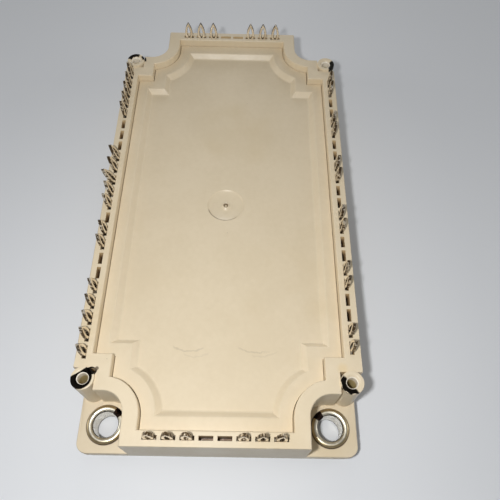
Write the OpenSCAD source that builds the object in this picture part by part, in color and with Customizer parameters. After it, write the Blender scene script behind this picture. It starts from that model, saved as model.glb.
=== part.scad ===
// Press-fit power module: a moulded frame and lid on a flat base plate, with solderless pins round
// the rim. Millimetres, +Z up, origin in the middle of the base plate's underside.

/* [Base plate] */
// Width of the module across the long sides
body_w = 62; // [60:0.5:66]
// Length of the module over the mounting flanges
body_l = 122; // [120:0.5:128]
// Thickness of the metal base plate
plate_t = 3; // [2.5:0.1:4]
// How far the plate stays inside the plastic's outline
plate_inset = 0.3; // [0.1:0.1:0.5]
// Radius of the flange's four corners
corner_r = 2.4; // [1.5:0.1:3]

/* [Mounting bushes] */
// From the middle of a mounting hole to the module's nearest sides
bolt_edge = 6; // [5.8:0.1:6.2]
// Diameter of the hole for the mounting screw
bush_bore = 5.5; // [5:0.1:5.8]
// Wall of the bush's tube
bush_wall = 0.5; // [0.4:0.1:0.6]
// Outer diameter of the rolled collar
collar_d = 8.5; // [8.2:0.1:9]
// Depth of the countersink that the bush is flared into
flare_h = 0.8; // [0.6:0.1:1]
// How far the flare stays above the underside
flare_gap = 0.2; // [0.1:0.05:0.3]
// Width of the split in the collar at its outer edge
seam_w = 2.1; // [1:0.1:2.6]

/* [Frame] */
// Thickness of the plastic flange on the base plate
flange_t = 2.2; // [1.8:0.1:3]
// Height of the frame's top edge above the underside
frame_top = 16.3; // [16:0.1:18]
// From the middle of a mounting hole to the pocket's wall across the module
pocket_side = 5.6; // [5.3:0.1:6]
// From the middle of a mounting hole to the pocket's wall along the module
pocket_end = 5; // [4.9:0.1:5.2]
// Radius of the pocket's round corner
pocket_r = 4.7; // [4.3:0.1:4.8]
// How far the notch for a board boss comes in from the long side
notch_side = 4.9; // [4.7:0.1:5]
// How far the notch for a board boss comes in from the short end
notch_end = 15.7; // [15.5:0.1:15.9]
// Thickness of the hidden walls under the plateau
wall = 2; // [1.6:0.1:2.2]

/* [Board bosses] */
// From the middle of a boss to the long side
boss_side = 2.5; // [2.4:0.05:2.6]
// From the middle of a boss to the short end
boss_end = 13.3; // [13.2:0.05:13.5]
// Outer diameter of a boss
boss_d = 5; // [4.8:0.1:5.1]
// Height of the boss above the frame's top edge
boss_rise = 0.7; // [0.5:0.1:1]
// Bore for the self-tapping screw
boss_bore = 2.3; // [2.1:0.1:2.5]
// Depth of the bore
boss_depth = 8; // [6:0.5:9]
// Diameter of the bore's flared mouth
boss_mouth = 3.5; // [3.1:0.1:3.7]
// Depth of the flared mouth
mouth_h = 0.6; // [0.4:0.1:0.9]

/* [Lid opening] */
// Width of the frame's top edge along the long sides
rim_side = 3.7; // [3.5:0.05:3.9]
// Width of the frame's top edge at the short ends
rim_end = 3.25; // [3.1:0.05:3.4]
// From the short end to the step in the opening's long sides
step_end = 18.9; // [18.5:0.1:19.5]
// How far the step comes in from the long side
step_w = 4.3; // [4:0.1:4.8]
// Wall between the screw pocket and the opening's round corner
arc_wall = 2.4; // [2.2:0.1:2.6]
// How far that round corner lies towards the middle line
arc_shift = 1; // [0.7:0.1:1.3]

/* [Lid] */
// How deep the lid sits below the frame's top edge
lid_drop = 2.3; // [2:0.1:2.6]
// Thickness of the lid
lid_t = 1.5; // [1.3:0.1:1.8]
// Depth of the dish in the lid
dish_depth = 1.5; // [1.2:0.1:1.8]
// Gap between the lid and the frame all round
lid_gap = 0.12; // [0.08:0.01:0.2]
// Width of the ledge that carries the lid
ledge_w = 1.2; // [1:0.05:1.3]
// Width of the lid's flat rim along the long sides
lid_rim = 2.9; // [2.8:0.05:3.1]
// Width of the lid's flat rim at its steps
lid_rim_step = 3.1; // [3:0.05:3.3]
// Width of the lid's flat rim beside its steps
lid_rim_neck = 3.6; // [3.5:0.05:3.8]
// Width of the lid's flat rim at the short ends
lid_rim_end = 3.25; // [3.1:0.05:3.4]
// Width of the lid's flat rim where the round corners meet the short ends
lid_rim_arc = 3.1; // [3:0.05:3.3]
// Radius of the dish's round corners
dish_arc_r = 10.6; // [10.2:0.1:11]
// How much thinner the dish's side wall is than the lid
dish_thin = 0.4; // [0.3:0.1:0.6]
// How far the dish's sloping wall comes in at its foot
dish_draft = 0.8; // [0.5:0.1:1]
// Radius of the round moulding gate mark
gate_r = 4.8; // [4:0.1:5.5]
// Depth of the gate mark
gate_depth = 0.12; // [0.08:0.02:0.2]
// Radius of the sprue's stub
sprue_r = 0.4; // [0.3:0.05:0.6]
// Height of the sprue's stub
sprue_h = 0.3; // [0.2:0.05:0.5]

/* [Pins] */
// From the notch to the middle of the nearest pin; the pin grid divides what is left
row_end = 3.39; // [3.37:0.01:3.45]
// Distance from the frame's outer face to the pins, long sides
row_inset = 1.9; // [1.8:0.05:2]
// Distance from the frame's outer face to the pins, short ends
row_inset_end = 1.8; // [1.7:0.05:1.9]
// Length of a slot along its row
slot_l = 3; // [2.8:0.05:3.1]
// Width of a slot
slot_w = 0.95; // [0.9:0.05:1.1]
// Depth of a slot
slot_depth = 4; // [3:0.1:4.6]
// Width of a pin's shaft
pin_w = 2.7; // [2.4:0.05:2.75]
// Width of a pin's foot
foot_w = 2.2; // [2:0.05:2.4]
// How far the shaft's shoulders stay below the frame's top edge
shoulder_drop = 0.3; // [0.1:0.05:0.5]
// Thickness of a pin
pin_t = 0.8; // [0.7:0.05:0.85]
// Largest width of the needle's eye
eye_w = 2.3; // [2.1:0.05:2.5]
// Height of the eye's widest place above the frame
eye_rise = 1.2; // [1:0.1:1.5]
// Height from the widest place down to the eye's foot
eye_low = 2.1; // [1.9:0.1:2.4]
// Height from the widest place up to the point
eye_high = 3.9; // [3.4:0.1:4.4]
// Width of the metal on each side of the eye
eye_band = 0.66; // [0.6:0.02:0.8]
// Length of the metal above the eye's slit
eye_point = 1.05; // [0.8:0.05:1.3]
// Length of a pin's foot, from the row inwards
foot_reach = 5.5; // [5:0.1:5.8]
// Height of the inner shelf that carries the feet
shelf_z = 6.2; // [5.8:0.1:6.6]
// Width of the shelf, from the row inwards
shelf_reach = 6.3; // [6:0.1:6.5]

/* [Substrates] */
// From the long side to the edge of the substrates
sub_side = 9.7; // [9.6:0.1:10]
// From the short end to the edge of the substrates
sub_end = 14.2; // [14:0.1:14.6]
// The middle substrate's share of their length
mid_share = 0.378; // [0.37:0.002:0.38]
// Gap between two substrates
sub_gap = 0.8; // [0.6:0.1:1]
// Solder between base plate and substrate
solder_t = 0.2; // [0.1:0.05:0.3]
// Copper on the substrate's underside
copper_low = 0.3; // [0.2:0.05:0.4]
// Ceramic plate
ceramic_t = 0.38; // [0.25:0.01:0.65]
// Copper tracks on top
copper_top = 0.3; // [0.2:0.05:0.4]
// Bare ceramic round the copper
ceramic_margin = 0.6; // [0.4:0.1:0.9]
// Space between two copper tracks
track_gap = 0.6; // [0.5:0.05:0.8]
// Width of an emitter or anode track
strip_w = 1.6; // [1.4:0.1:1.8]
// Length of the pads at the substrate's edge
pad_l = 1.8; // [1.6:0.1:2]

/* [Chips and wires] */
// Thickness of a chip with its solder
chip_t = 0.25; // [0.15:0.05:0.4]
// Length of an inverter transistor
igbt_l = 9.4; // [8.5:0.1:10]
// Bare copper on each side of an inverter transistor
igbt_side = 0.7; // [0.6:0.1:1]
// Length of an inverter diode
diode_l = 5.6; // [5:0.1:6]
// Width of an inverter diode
diode_w = 5.6; // [5:0.1:7]
// Length of a rectifier diode
rect_l = 7; // [6.4:0.1:7.4]
// Bare copper on each side of a rectifier diode
rect_side = 0.55; // [0.5:0.05:0.75]
// Length of the temperature sensor
therm_l = 3.2; // [2.4:0.1:3.4]
// Width of the temperature sensor
therm_w = 0.8; // [0.6:0.1:1]
// Height of the temperature sensor
therm_h = 0.9; // [0.6:0.1:1]
// Thickness of an aluminium bond wire, drawn square
wire_d = 0.36; // [0.25:0.01:0.45]
// Rise of a wire loop above its higher end
wire_rise = 1.1; // [0.9:0.1:1.4]
// Bend radius of a wire
wire_bend = 0.9; // [0.7:0.1:0.9]
// Spacing of wires side by side
wire_pitch = 1.3; // [1:0.1:1.6]
// From the end of a pin's foot to the middle of its wire
foot_bond_in = 0.9; // [0.7:0.1:1.2]
// Top of the silicone gel
gel_top = 9.4; // [9:0.1:9.8]

/* [Hidden] */
$fn = 48;
// Overlap of joined solids, and overshoot of cutting solids
eps = 0.01;
over = 1;
half_w = body_w / 2;
half_l = body_l / 2;
flange_z = plate_t + flange_t;
mount_x = half_w - bolt_edge;
mount_y = half_l - bolt_edge;
bush_r = bush_bore / 2;
tube_r = bush_r + bush_wall;
collar_r = collar_d / 2;
lip_r = (collar_r - bush_r) / 2;
boss_x = half_w - boss_side;
boss_y = half_l - boss_end;
boss_top = frame_top + boss_rise;
notch_x = half_w - notch_side;
notch_y = half_l - notch_end;
open_x = half_w - rim_side;
open_y = half_l - rim_end;
neck_x = open_x - step_w;
step_y = half_l - step_end;
arc_x = mount_x - arc_shift;
arc_r = pocket_side + arc_wall;
rim_z = frame_top - lid_drop;
seat_z = rim_z - lid_t;
dish_z = rim_z - dish_depth;
dish_x = open_x - lid_rim;
dish_y = open_y - lid_rim_end;
row_x = half_w - row_inset;
row_y = half_l - row_inset_end;
// Steps of the pitch from a side row's middle to its last slot
outer_step = 11;
pitch = (notch_y - row_end) / outer_step;
slot_z = frame_top - slot_depth;
foot_top = shelf_z + pin_t;
cavity_x = open_x - ledge_w;
cavity_y = open_y - ledge_w;
copper_z = plate_t + solder_t + copper_low + ceramic_t;
track_z = copper_z + copper_top;
chip_z = track_z + chip_t;
wire_r = wire_d / 2;
sub_x = half_w - sub_side;
sub_room = 2 * (half_l - sub_end - sub_gap);
sub_mid = mid_share * sub_room;

// Places on each row, in steps of the pitch from its middle: groups of pins, and empty slots
function end_group(g) = g == 0 ? [-3.5, -2.5, -1.5] : [1.5, 2.5, 3.5];
function left_group(g) = [[-11, -10, -9, -8, -7], [-4, -3], [-1, 0, 1, 2, 3], [7, 8, 9, 10, 11]][g];
function right_group(g) = [4 * g - 10.5, 4 * g - 9.5];
function end_empty() = [-0.5, 0.5];
function left_empty() = [-6, -5, -2, 4, 5, 6];
function right_empty() = [for (g = [0:4], k = [-8.5, -7.5]) 4 * g + k];
function end_pins() = concat(end_group(0), end_group(1));
function left_pins() = [for (g = [0:3], k = left_group(g)) k];
function right_pins() = [for (g = [0:5], k = right_group(g)) k];

// Degrees that a pin of the left row is bent outwards, from handling
function lean(k) = k == 1 ? 24 : k == 0 ? 9 : k == 2 ? 12 : k == 3 ? 14 : k == -1 ? 7 : 4;

// Substrates: name, middle and length along the module, columns and their chips
sub_names = ["front", "middle", "back"];
function sub_len(i) = i == 1 ? sub_mid : (sub_room - sub_mid) / 2;
function sub_y(i) = (i - 1) * (sub_mid / 2 + sub_gap + sub_len(i) / 2);
// The end substrates keep a row of pads for the pins of the short ends
function field_y(i) = i == 1 ? 0 : (1 - i) * (pad_l + track_gap) / 2;
function field_len(i) = sub_len(i) - 2 * ceramic_margin - (i == 1 ? 0 : pad_l + track_gap);
field_x = sub_x - ceramic_margin - pad_l - track_gap;
columns = [4, 3, 3];
function col_w(i) = (2 * field_x - (columns[i] - 1) * track_gap) / columns[i];
function col_x(i, c) = -field_x + (c + 0.5) * col_w(i) + c * track_gap;
function island_w(i) = col_w(i) - strip_w - track_gap;
function island_x(i, c) = col_x(i, c) - (strip_w + track_gap) / 2;
function strip_x(i, c) = col_x(i, c) + (col_w(i) - strip_w) / 2;
// Two chips stand in a column: row 0 towards the front, row 1 towards the back
function chip_y(i, r) = sub_y(i) + field_y(i) + (r - 0.5) * field_len(i) / 2;
function chip_kind(i, r) = i == 0 ? "rectifier" : r == (i == 1 ? 0 : 1) ? "igbt" : "diode";
rect_w = island_w(0) - 2 * rect_side;
function chip_size(kind) = kind == "igbt" ? [island_w(1) - 2 * igbt_side, igbt_l]
                         : kind == "diode" ? [diode_w, diode_l] : [rect_w, rect_l];
function chip_wires(kind) = kind == "igbt" ? 4 : 3;

rectifiers = [for (c = [0:2], r = [0:1]) [c, r]];

// ---- Outlines ----

module at_corners()
    for (mx = [0, 1], my = [0, 1])
        mirror([mx, 0, 0]) mirror([0, my, 0]) children();

module rounded_rect(w, l, r)
    difference() {
        square([w, l], center = true);
        at_corners()
            translate([w / 2 - r, l / 2 - r])
                difference() {
                    square(r + over);
                    circle(r);
                }
    }

// A corner bitten out by a pocket with a round inner corner about x, y
module pocket(x, y, r) {
    translate([x, y]) circle(r);
    translate([x - r, y]) square([half_w, half_l]);
    translate([x, y - r]) square([half_w, half_l]);
}

module frame_outline()
    difference() {
        square([body_w, body_l], center = true);
        at_corners() {
            pocket(mount_x - pocket_side + pocket_r, mount_y - pocket_end + pocket_r, pocket_r);
            translate([notch_x, notch_y]) square([half_w, half_l]);
        }
    }

// The stepped opening that holds the lid; inset makes it smaller all round
module opening_outline(inset = 0)
    difference() {
        square(2 * [open_x - inset, open_y - inset], center = true);
        at_corners() {
            pocket(arc_x, mount_y, arc_r + inset);
            translate([neck_x - inset, step_y - inset]) square([half_w, half_l]);
        }
    }

// The dish in the lid, one step further in
module dish_outline(grow = 0)
    difference() {
        square(2 * [dish_x + grow, dish_y + grow], center = true);
        at_corners() {
            translate([arc_x - arc_r - lid_rim_arc + dish_arc_r, dish_y])
                circle(dish_arc_r - grow);
            translate([neck_x - lid_rim_neck + grow, step_y - lid_rim_step + grow])
                square([half_w, half_l]);
        }
    }

// The hollow under the frame's top, with walls of even thickness
module cavity_outline()
    difference() {
        square(2 * [cavity_x, cavity_y], center = true);
        at_corners() {
            pocket(mount_x, mount_y, pocket_side + wall);
            translate([notch_x - wall, notch_y - wall]) square([half_w, half_l]);
        }
    }

// The hollow between the shelves that carry the pins' feet
module well_outline()
    intersection() {
        cavity_outline();
        square(2 * [row_x - shelf_reach, row_y - shelf_reach], center = true);
    }

// ---- Places of the pins: local +X runs inwards from the row, local Y along it ----

module on_front(ks) for (k = ks) translate([k * pitch, -row_y, 0]) rotate(90) children();
module on_back(ks) for (k = ks) translate([k * pitch, row_y, 0]) rotate(-90) children();
module on_left(ks) for (k = ks) translate([-row_x, k * pitch, 0]) children();
module on_right(ks) for (k = ks) translate([row_x, k * pitch, 0]) rotate(180) children();

module at_all_pins() {
    on_front(end_pins()) children();
    on_back(end_pins()) children();
    on_left(left_pins()) children();
    on_right(right_pins()) children();
}

module at_all_slots() {
    at_all_pins() children();
    on_front(end_empty()) children();
    on_back(end_empty()) children();
    on_left(left_empty()) children();
    on_right(right_empty()) children();
}

// ---- Housing ----

module baseplate()
    color("lightgray")
    difference() {
        linear_extrude(plate_t)
            rounded_rect(body_w - 2 * plate_inset, body_l - 2 * plate_inset, corner_r);
        at_corners() translate([mount_x, mount_y, 0]) {
            translate([0, 0, -over]) cylinder(r = tube_r, h = plate_t + 2 * over);
            translate([0, 0, -eps])
                cylinder(r1 = tube_r + flare_h + eps, r2 = tube_r, h = flare_h + eps);
        }
    }

module bush_section() {
    translate([bush_r, flare_gap]) square([bush_wall, flange_z - flare_gap]);
    polygon([[bush_r, flare_gap], [tube_r + flare_h - flare_gap, flare_gap], [tube_r, flare_h],
             [bush_r, flare_h]]);
    translate([bush_r + lip_r, flange_z])
        intersection() {
            circle(lip_r);
            translate([-lip_r, 0]) square([2 * lip_r, lip_r]);
        }
}

// The collar is split where the strip's ends meet, on the side of the lid
module mounting_bush(mx, my)
    color("gainsboro")
    mirror([mx, 0, 0]) mirror([0, my, 0])
        translate([mount_x, mount_y, 0])
            difference() {
                rotate_extrude() bush_section();
                rotate(225)
                    translate([0, 0, flange_z])
                        linear_extrude(2 * lip_r)
                            polygon([[bush_r, 0], [collar_r, seam_w / 2], [collar_r + over, 0],
                                     [collar_r, -seam_w / 2]]);
            }

module boss()
    translate([0, 0, flange_z - eps]) cylinder(d = boss_d, h = boss_top - flange_z + eps);

module boss_hole() {
    translate([0, 0, boss_top - boss_depth]) cylinder(d = boss_bore, h = boss_depth + over);
    translate([0, 0, boss_top - mouth_h])
        cylinder(d1 = boss_bore, d2 = boss_mouth, h = mouth_h);
}

// What a pin needs in the frame: a slot at the top, then a close passage down to the shelf
module slot_mouth()
    translate([-slot_w / 2, -slot_l / 2, slot_z]) cube([slot_w, slot_l, slot_depth + over]);

module pin_blade() {
    translate([-pin_t / 2, -pin_w / 2, shelf_z])
        cube([pin_t, pin_w, frame_top - shoulder_drop - shelf_z]);
    translate([-pin_t / 2, -foot_w / 2, shelf_z]) cube([foot_reach + pin_t / 2, foot_w, pin_t]);
}

module housing_frame()
    color([0.86, 0.80, 0.70])
    difference() {
        union() {
            translate([0, 0, plate_t]) linear_extrude(flange_t) rounded_rect(body_w, body_l, corner_r);
            translate([0, 0, plate_t]) linear_extrude(frame_top - plate_t) frame_outline();
            at_corners() translate([boss_x, boss_y, 0]) boss();
        }
        translate([0, 0, plate_t - over])
            linear_extrude(shelf_z - plate_t + over + eps) well_outline();
        translate([0, 0, shelf_z]) linear_extrude(seat_z - shelf_z) cavity_outline();
        translate([0, 0, seat_z - eps]) linear_extrude(frame_top) opening_outline();
        at_corners() translate([mount_x, mount_y, 0]) cylinder(r = tube_r, h = flange_z + over);
        at_corners() translate([boss_x, boss_y, 0]) boss_hole();
        at_all_slots() slot_mouth();
        at_all_pins() pin_blade();
    }

module lid()
    color([0.88, 0.82, 0.72])
    difference() {
        union() {
            translate([0, 0, seat_z]) linear_extrude(lid_t) opening_outline(lid_gap);
            translate([0, 0, dish_z - lid_t])
                linear_extrude(lid_t + eps) dish_outline(lid_t - dish_thin);
        }
        translate([0, 0, rim_z]) mirror([0, 0, 1])
            linear_extrude(dish_depth, slices = 1,
                           scale = [(dish_x - dish_draft) / dish_x, (dish_y - dish_draft) / dish_y])
                dish_outline();
        translate([0, 0, rim_z - eps]) linear_extrude(over) dish_outline();
        translate([0, 0, dish_z - gate_depth])
            difference() {
                cylinder(r = gate_r, h = gate_depth + over);
                translate([0, 0, -eps]) cylinder(r = sprue_r, h = sprue_h + eps);
            }
    }

// ---- Pins ----

// Radius of the two arcs that meet in a point, h above a base w wide
function arch_r(w, h) = h * h / w + w / 4;

// A pointed arch: the part of a lens above its widest place
module arch(w, h)
    intersection() {
        translate([arch_r(w, h) - w / 2, 0]) circle(arch_r(w, h));
        translate([w / 2 - arch_r(w, h), 0]) circle(arch_r(w, h));
        translate([-w / 2, 0]) square([w, h]);
    }

module eye_shape(w, low, high) {
    arch(w, high);
    mirror([0, 1]) arch(w, low);
}

// The spring eye stands over the frame; its neck runs down into the shaft
module needle_eye()
    rotate([90, 0, 90])
        linear_extrude(pin_t, center = true)
            difference() {
                union() {
                    translate([0, eye_rise]) eye_shape(eye_w, eye_low, eye_high);
                    translate([-eye_band, -eye_low + eye_rise]) square([2 * eye_band, eye_low]);
                }
                translate([0, eye_rise])
                    eye_shape(eye_w - 2 * eye_band, eye_low - eye_band, eye_high - eye_point);
            }

module press_pin(bend = 0) {
    pin_blade();
    translate([0, 0, frame_top]) rotate([0, -bend, 0]) needle_eye();
}

module pins_front(ks) color("silver") on_front(ks) press_pin();
module pins_back(ks) color("silver") on_back(ks) press_pin();
module pins_left(ks) color("silver") for (k = ks) on_left([k]) press_pin(lean(k));
module pins_right(ks) color("silver") on_right(ks) press_pin();

// ---- Substrates ----

module plate_on(i, z, t, margin)
    translate([0, sub_y(i), z])
        linear_extrude(t)
            square([2 * (sub_x - margin), sub_len(i) - 2 * margin], center = true);

module substrate_solder(i) color("darkgray") plate_on(i, plate_t, solder_t, ceramic_margin);

module substrate_lower_copper(i)
    color("peru") plate_on(i, plate_t + solder_t, copper_low, ceramic_margin);

module substrate_ceramic(i)
    color("white") plate_on(i, plate_t + solder_t + copper_low, ceramic_t, 0);

function on_substrate(i, k) = abs(k * pitch - sub_y(i)) < sub_len(i) / 2;
pad_x = sub_x - ceramic_margin - pad_l;
end_pad_y = sub_room / 2 + sub_gap - ceramic_margin - pad_l;

// The row of end pads, as far as the outer pins go
module end_pads(i)
    if (i != 1)
        for (k = end_pins())
            translate([k * pitch, (i - 1) * (end_pad_y + pad_l / 2)])
                square([foot_w, pad_l], center = true);

module side_pads(i) {
    for (k = left_pins()) if (on_substrate(i, k))
        translate([-pad_x - pad_l, k * pitch - foot_w / 2]) square([pad_l, foot_w]);
    for (k = right_pins()) if (on_substrate(i, k))
        translate([pad_x, k * pitch - foot_w / 2]) square([pad_l, foot_w]);
}

module columns_of(i)
    for (c = [0:columns[i] - 1])
        translate([0, sub_y(i) + field_y(i)]) {
            translate([island_x(i, c), 0]) square([island_w(i), field_len(i)], center = true);
            translate([strip_x(i, c), 0]) square([strip_w, field_len(i)], center = true);
        }

module substrate_tracks(i)
    color("goldenrod")
    translate([0, 0, copper_z])
        linear_extrude(copper_top) {
            columns_of(i);
            side_pads(i);
            end_pads(i);
        }

// ---- Chips ----

module chip(i, c, r, size)
    color("dimgray")
    translate([island_x(i, c), chip_y(i, r), track_z])
        linear_extrude(chip_t) square(size, center = true);

module rectifier_diode(k) chip(0, rectifiers[k - 1][0], rectifiers[k - 1][1], chip_size("rectifier"));
module brake_transistor() chip(0, 3, 0, chip_size("rectifier"));
module brake_diode() chip(0, 3, 1, [rect_w, diode_l]);
module inverter_transistor(k) chip(k > 3 ? 2 : 1, (k - 1) % 3, k > 3 ? 1 : 0, chip_size("igbt"));
module inverter_diode(k) chip(k > 3 ? 2 : 1, (k - 1) % 3, k > 3 ? 0 : 1, chip_size("diode"));

// A small block bridging the first two end pads of the back substrate
module thermistor()
    color("black")
    translate([(end_group(0)[0] + end_group(0)[1]) * pitch / 2, end_pad_y + therm_w / 2, track_z])
        linear_extrude(therm_h) square([therm_l, therm_w], center = true);

// ---- Bond wires ----

// The loop's outline seen from the side: square legs joined over the top by round corners
module loop_side(x0, x1, top, r)
    difference() {
        translate([x0, 0]) square([x1 - x0, top]);
        translate([x0, top - r]) difference() {
            translate([-eps, 0]) square([r + eps, r + eps]);
            translate([r, 0]) circle(r);
        }
        translate([x1 - r, top - r]) difference() {
            square(r + eps);
            circle(r);
        }
    }

// A flat aluminium loop along local +X, from height za at x = 0 to height zb at x = span
module bond_wire(span, za, zb) {
    top = max(za, zb) + wire_rise;
    translate([0, wire_r, 0])
        rotate([90, 0, 0])
            linear_extrude(wire_d)
                difference() {
                    loop_side(-wire_r, span + wire_r, top + wire_r, wire_bend + wire_r);
                    loop_side(wire_r, span - wire_r, top - wire_r, wire_bend - wire_r);
                    translate([-over, -over]) square([over + span / 2, over + za]);
                    translate([span / 2, -over]) square([over + span, over + zb]);
                }
}

function bond_y(i, r, w) = chip_y(i, r) + (w - (chip_wires(chip_kind(i, r)) + 1) / 2) * wire_pitch;

module chip_bonds(i)
    for (c = [0:columns[i] - 1], r = [0:1], w = [1:chip_wires(chip_kind(i, r))])
        translate([island_x(i, c), bond_y(i, r, w), 0])
            bond_wire(strip_x(i, c) - island_x(i, c), chip_z, track_z);

// Where a wire lands on a foot and on the pad below it
foot_bond = foot_reach - foot_bond_in;
side_span = row_x - foot_bond - pad_x - pad_l / 2;
end_span = row_y - foot_bond - end_pad_y - pad_l / 2;

module foot_bond_wire(span) translate([foot_bond, 0, 0]) bond_wire(span, foot_top, track_z);

module pin_bonds(i) {
    for (k = left_pins()) if (on_substrate(i, k)) on_left([k]) foot_bond_wire(side_span);
    for (k = right_pins()) if (on_substrate(i, k)) on_right([k]) foot_bond_wire(side_span);
    if (i == 0) on_front(end_pins()) foot_bond_wire(end_span);
    if (i == 2) on_back(end_pins()) foot_bond_wire(end_span);
}

module bond_wires(i)
    color("silver") {
        chip_bonds(i);
        pin_bonds(i);
    }

// ---- Gel over everything in the well ----

module silicone_gel()
    color([0.8, 0.86, 0.9, 0.4])
    difference() {
        union() {
            translate([0, 0, plate_t]) linear_extrude(shelf_z - plate_t + eps) well_outline();
            translate([0, 0, shelf_z]) linear_extrude(gel_top - shelf_z) cavity_outline();
        }
        at_all_pins() pin_blade();
        for (i = [0:2]) {
            translate([0, 0, -eps]) substrate_solder(i);
            substrate_lower_copper(i);
            substrate_ceramic(i);
            substrate_tracks(i);
            bond_wires(i);
        }
        for (k = [1:6]) {
            rectifier_diode(k);
            inverter_transistor(k);
            inverter_diode(k);
        }
        brake_transistor();
        brake_diode();
        thermistor();
    }

// ---- Nodes ----

baseplate();
housing_frame();
lid();
silicone_gel();
mounting_bush(1, 1);  // mounting_bush_front_left
mounting_bush(0, 1);  // mounting_bush_front_right
mounting_bush(1, 0);  // mounting_bush_back_left
mounting_bush(0, 0);  // mounting_bush_back_right
for (i = [0:2]) {
    substrate_solder(i);
    substrate_lower_copper(i);
    substrate_ceramic(i);
    substrate_tracks(i);
    bond_wires(i);
}
for (k = [1:6]) {
    rectifier_diode(k);
    inverter_transistor(k);
    inverter_diode(k);
}
brake_transistor();
brake_diode();
thermistor();
pins_front(end_group(0));  // pins_front_left
pins_front(end_group(1));  // pins_front_right
pins_back(end_group(0));  // pins_back_left
pins_back(end_group(1));  // pins_back_right
pins_left(left_group(0));  // pins_left_side_1
pins_left(left_group(1));  // pins_left_side_2
pins_left(left_group(2));  // pins_left_side_3
pins_left(left_group(3));  // pins_left_side_4
pins_right(right_group(0));  // pins_right_side_1
pins_right(right_group(1));  // pins_right_side_2
pins_right(right_group(2));  // pins_right_side_3
pins_right(right_group(3));  // pins_right_side_4
pins_right(right_group(4));  // pins_right_side_5
pins_right(right_group(5));  // pins_right_side_6
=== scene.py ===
# %% [markdown]
# # A press-fit power module
# The real thing is a flat block of moulded plastic on a metal base plate: a frame with
# sprung pins round its rim, a dished lid sunk into it, and four metal bushes for screws.
# Its solids come from the CAD file. This lesson gives them soft moulded edges, finishes
# and light. All lengths are metres, so `MM` turns millimetres into them.

# %% Load the solids
import math

import bmesh
import bpy
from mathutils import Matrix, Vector


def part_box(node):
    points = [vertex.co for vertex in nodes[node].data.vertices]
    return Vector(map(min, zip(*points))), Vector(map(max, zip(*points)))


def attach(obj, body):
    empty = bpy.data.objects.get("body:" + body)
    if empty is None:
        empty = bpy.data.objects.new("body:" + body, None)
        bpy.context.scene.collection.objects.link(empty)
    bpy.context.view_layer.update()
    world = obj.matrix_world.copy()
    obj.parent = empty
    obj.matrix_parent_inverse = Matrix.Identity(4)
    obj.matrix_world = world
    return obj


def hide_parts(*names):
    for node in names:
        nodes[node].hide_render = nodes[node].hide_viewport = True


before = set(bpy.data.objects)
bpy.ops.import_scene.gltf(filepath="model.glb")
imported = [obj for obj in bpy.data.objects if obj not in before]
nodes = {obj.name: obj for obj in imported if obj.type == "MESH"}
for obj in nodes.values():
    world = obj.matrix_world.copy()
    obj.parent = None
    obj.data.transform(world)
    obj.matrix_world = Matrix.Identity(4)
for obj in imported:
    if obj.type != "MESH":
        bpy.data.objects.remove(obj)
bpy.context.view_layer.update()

MM = 0.001

# %% [markdown]
# ## Camera and light
# The camera looks down on the near end from a height of about one module length. A long
# lens from far off would be the plain choice, but the near end should look clearly wider
# than the far end, so the camera stands close, with a moderate lens.

# %% Camera
EYE = (0.005037, -0.076323, 0.127824)
TURN_DEGREES = (29.62, -0.929, 0.754)
SENSOR_MM, LENS_MM = 36, 37.778
LENS_SHIFT = (0.00338, -0.02286)
NEAREST_SEEN = 0.005

camera_data = bpy.data.cameras.new("camera")
camera = bpy.data.objects.new("camera", camera_data)
bpy.context.scene.collection.objects.link(camera)
camera.location = EYE
camera.rotation_euler = [math.radians(angle) for angle in TURN_DEGREES]
camera_data.sensor_width, camera_data.lens = SENSOR_MM, LENS_MM
camera_data.shift_x, camera_data.shift_y = LENS_SHIFT
camera_data.clip_start = NEAREST_SEEN
bpy.context.scene.camera = camera
print("camera at", [round(v / MM) for v in camera.location], "mm")

# %% [markdown]
# The light is one small panel close by the camera, three weak wide ones set low for the
# sides and the back, and a dim even world. Together they bring a colour out about as it is
# written. The small panel stands near, so the near end is brighter than the far end,
# shadows are narrow, and the dish's far wall, which faces it, catches a bright band. A sun
# would light all alike.

# %% Lamps and world
def soft_panel(name, place, aim, size, watts):
    data = bpy.data.lights.new(name, "AREA")
    data.size, data.energy = size, watts
    lamp = bpy.data.objects.new(name, data)
    bpy.context.scene.collection.objects.link(lamp)
    lamp.location = place
    lamp.rotation_euler = (Vector(aim) - Vector(place)).to_track_quat("-Z", "Y").to_euler()


MODULE_MIDDLE, WIDE = (0, 0, 0.01), 0.16
soft_panel("key_panel", place=(-0.014, -0.08, 0.138), aim=(0, -0.02, 0),
           size=0.008, watts=0.136)
for side in (-1, 1):
    soft_panel("side_panel", place=(side * 0.45, 0.03, 0.14), aim=MODULE_MIDDLE,
               size=WIDE, watts=0.3)
soft_panel("back_panel", place=(0, 0.48, 0.15), aim=MODULE_MIDDLE, size=WIDE, watts=0.4)
world = bpy.data.worlds.new("studio")
bpy.context.scene.world = world
world.use_nodes = True
sky = world.node_tree.nodes["Background"].inputs
sky["Color"].default_value = (0.96, 0.98, 1.0, 1)
sky["Strength"].default_value = 0.2
bpy.context.scene.view_settings.view_transform = "Standard"

# %% [markdown]
# ## Building blocks for finishes
# A finish is a small network of nodes. Typing each node out is long, so `Net` adds and
# links them, and `make_group` makes a group with named inputs and outputs. An effect that
# several finishes share is such a group, made once.

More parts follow.
